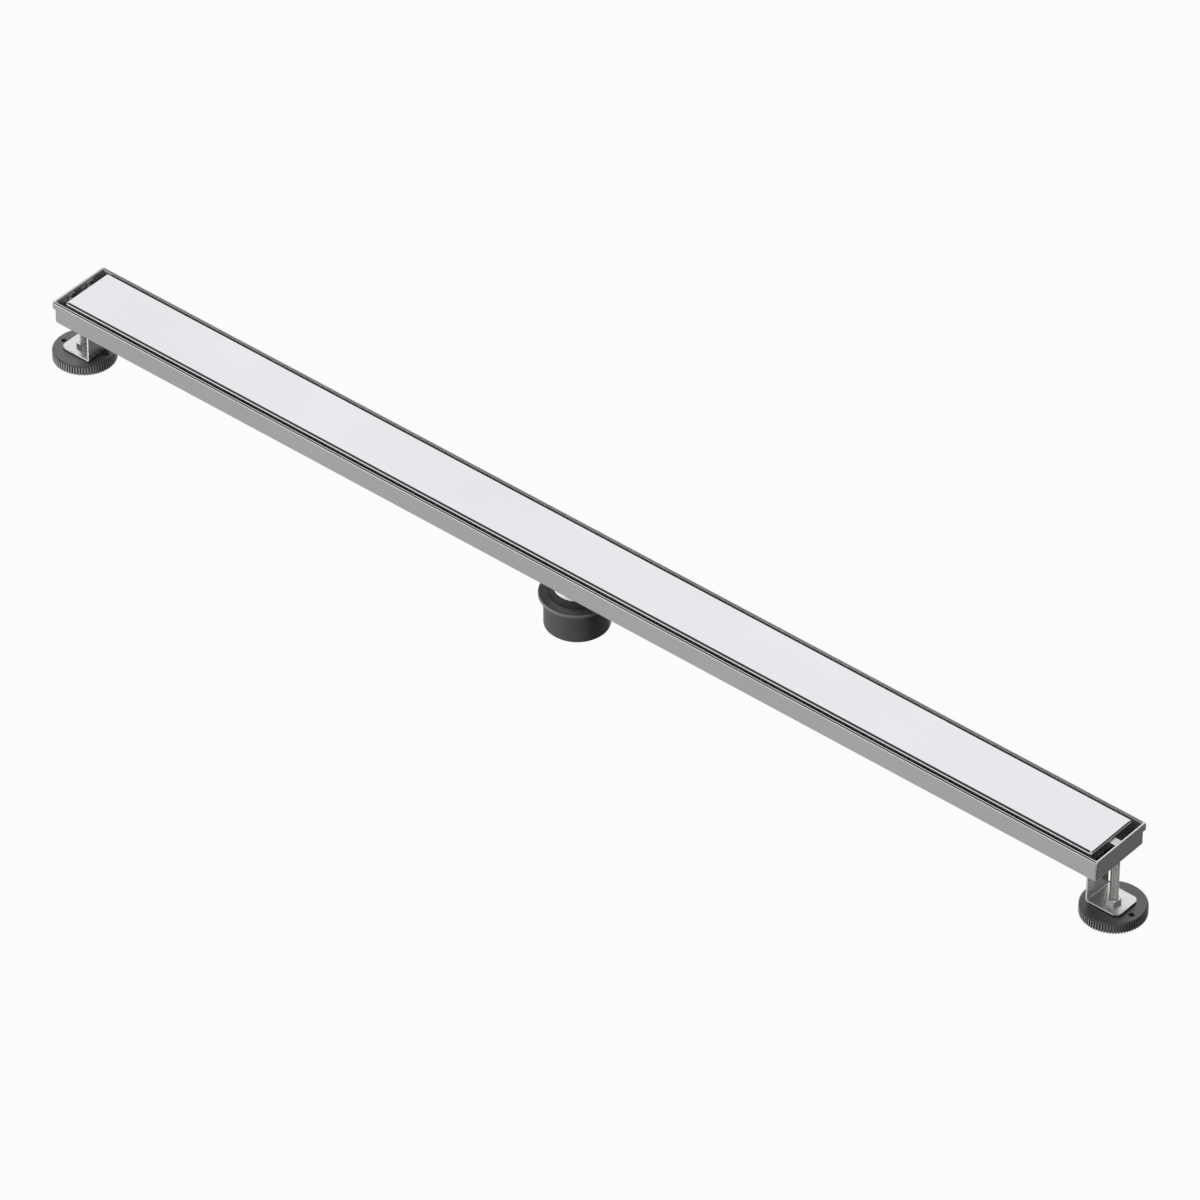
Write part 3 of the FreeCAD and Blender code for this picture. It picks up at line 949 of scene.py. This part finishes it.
@dataclass
class Studio:
    """White floor, soft walls for the metal to mirror, and two soft lamps.

    Attributes:
        ambient: light from all round on what isn't mirrored.
        base_level: what the metal mirrors between the walls.
        floor_half: half the floor's side in metres.
        floor_height: its height, below the feet's lowest setting.
        floor_colour: its colour under the lamps.
        floor_glow: share of plain white in what the camera sees of it.
        photo_walls: walls that give the steel its tones in the photograph's view.
        other_walls: walls that light it when it is seen from elsewhere.
        lamps: the two lamps.
    """

    ambient: float = 0.22
    base_level: float = 0.05
    floor_half: float = 12.0
    floor_height: float = -0.0365
    floor_colour: Colour = (0.5, 0.5, 0.5)
    floor_glow: float = 0.96
    photo_walls: Tuple[SoftWall, ...] = (
        SoftWall((-0.42, 0.85, 0.34), 30.0, 46.0, 1.0),
        SoftWall((0.00, 0.62, 0.78), 11.0, 21.0, 0.95),
        SoftWall((-0.62, 0.62, -0.48), 22.0, 46.0, 0.7),
        SoftWall((-0.62, -0.78, 0.00), 20.0, 36.0, 1.0),
        SoftWall((-0.10, -0.75, 0.65), 10.0, 20.0, 0.8),
        SoftWall((-0.82, 0.14, 0.56), 12.0, 24.0, 0.8),
        SoftWall((-0.52, -0.57, -0.64), 22.0, 50.0, 0.54),
        SoftWall((0.42, -0.66, -0.62), 15.0, 45.0, 0.36),
        SoftWall((0.49, 0.59, -0.64), 10.0, 26.0, 0.155),
    )
    other_walls: Tuple[SoftWall, ...] = (
        SoftWall((0.25, -0.97, -0.05), 30.0, 50.0, 0.55),
        SoftWall((0.75, -0.62, 0.25), 25.0, 44.0, 0.7),
        SoftWall((0.97, -0.10, 0.00), 14.0, 30.0, 0.5),
        SoftWall((-0.97, -0.10, 0.00), 22.0, 40.0, 0.6),
        SoftWall((0.50, 0.86, 0.00), 14.0, 29.0, 0.5),
        SoftWall((0.00, 0.96, -0.28), 14.0, 30.0, 0.55),
        SoftWall((0.15, 0.10, 0.98), 18.0, 30.0, 0.9),
        SoftWall((0.00, 0.00, -1.00), 12.0, 30.0, 0.5),
    )
    lamps: Tuple[SoftLamp, ...] = (
        SoftLamp("key_lamp", (-1.5, -2.4, 0.6), size=1.2, power=80.0),
        SoftLamp("fill_lamp", (-2.2, 2.4, 1.0), size=1.4, power=34.0),
    )

    def build(self) -> None:
        """Builds the world, the floor and the lamps."""
        bpy.context.scene.view_settings.view_transform = "Standard"
        self._world()
        self._floor()
        for lamp in self.lamps:
            lamp.hang()

    def _world(self) -> None:
        """White to the camera, the studio's soft walls to metal, plain light to the rest."""
        world = bpy.data.worlds.new("studio")
        bpy.context.scene.world = world
        tree = ShaderTree(world)
        direction = tree.add("ShaderNodeTexCoord").outputs["Generated"]
        mirrored: Operand = self.base_level
        for wall in self.photo_walls + self.other_walls:
            mirrored = tree.math("MAXIMUM", wall.seen(tree, direction), mirrored)
        camera, glossy, through, shown = tree.rays()
        backdrop = (camera + glossy * (1 - camera) * mirrored
                    + through * (1 - camera) * (1 - glossy))
        tree.end(tree.add("ShaderNodeBackground", {}, {
            "Color": WHITE, "Strength": backdrop + (1 - shown) * self.ambient}))

    def _floor(self) -> None:
        """A plain white floor on which the camera sees only a faint shadow."""
        shape = bmesh.new()
        bmesh.ops.create_grid(shape, x_segments=1, y_segments=1, size=self.floor_half)
        bmesh.ops.translate(shape, verts=shape.verts, vec=(0, 0, self.floor_height))
        made = bpy.data.materials.new("studio_floor")
        tree = ShaderTree(made)
        matt = tree.add("ShaderNodeBsdfDiffuse", {}, {"Color": (*self.floor_colour, 1.0)})
        glow = tree.add("ShaderNodeEmission", {}, {"Color": WHITE, "Strength": 1.0})
        *_, shown = tree.rays()
        tree.end(tree.add("ShaderNodeMixShader", {}, {
            0: shown * self.floor_glow, 1: matt.outputs[0], 2: glow.outputs[0]}))
        floor = mesh_piece("studio_floor", shape, made)
        floor.visible_glossy = False


def main() -> None:
    """Builds the camera, the drain's looks and the studio in order."""
    logging.basicConfig(level=logging.INFO, format="%(name)s: %(message)s")
    finishes = Finishes()
    PhotoCamera().build()
    Trough(finishes).build()
    Cover(finishes).build()
    Outlet(finishes).build()
    LevellingFoot(Side.LEFT, finishes, head_turn=12.6).build()
    LevellingFoot(Side.RIGHT, finishes, head_turn=-8.0).build()
    Studio().build()


if __name__ == "__main__":
    main()
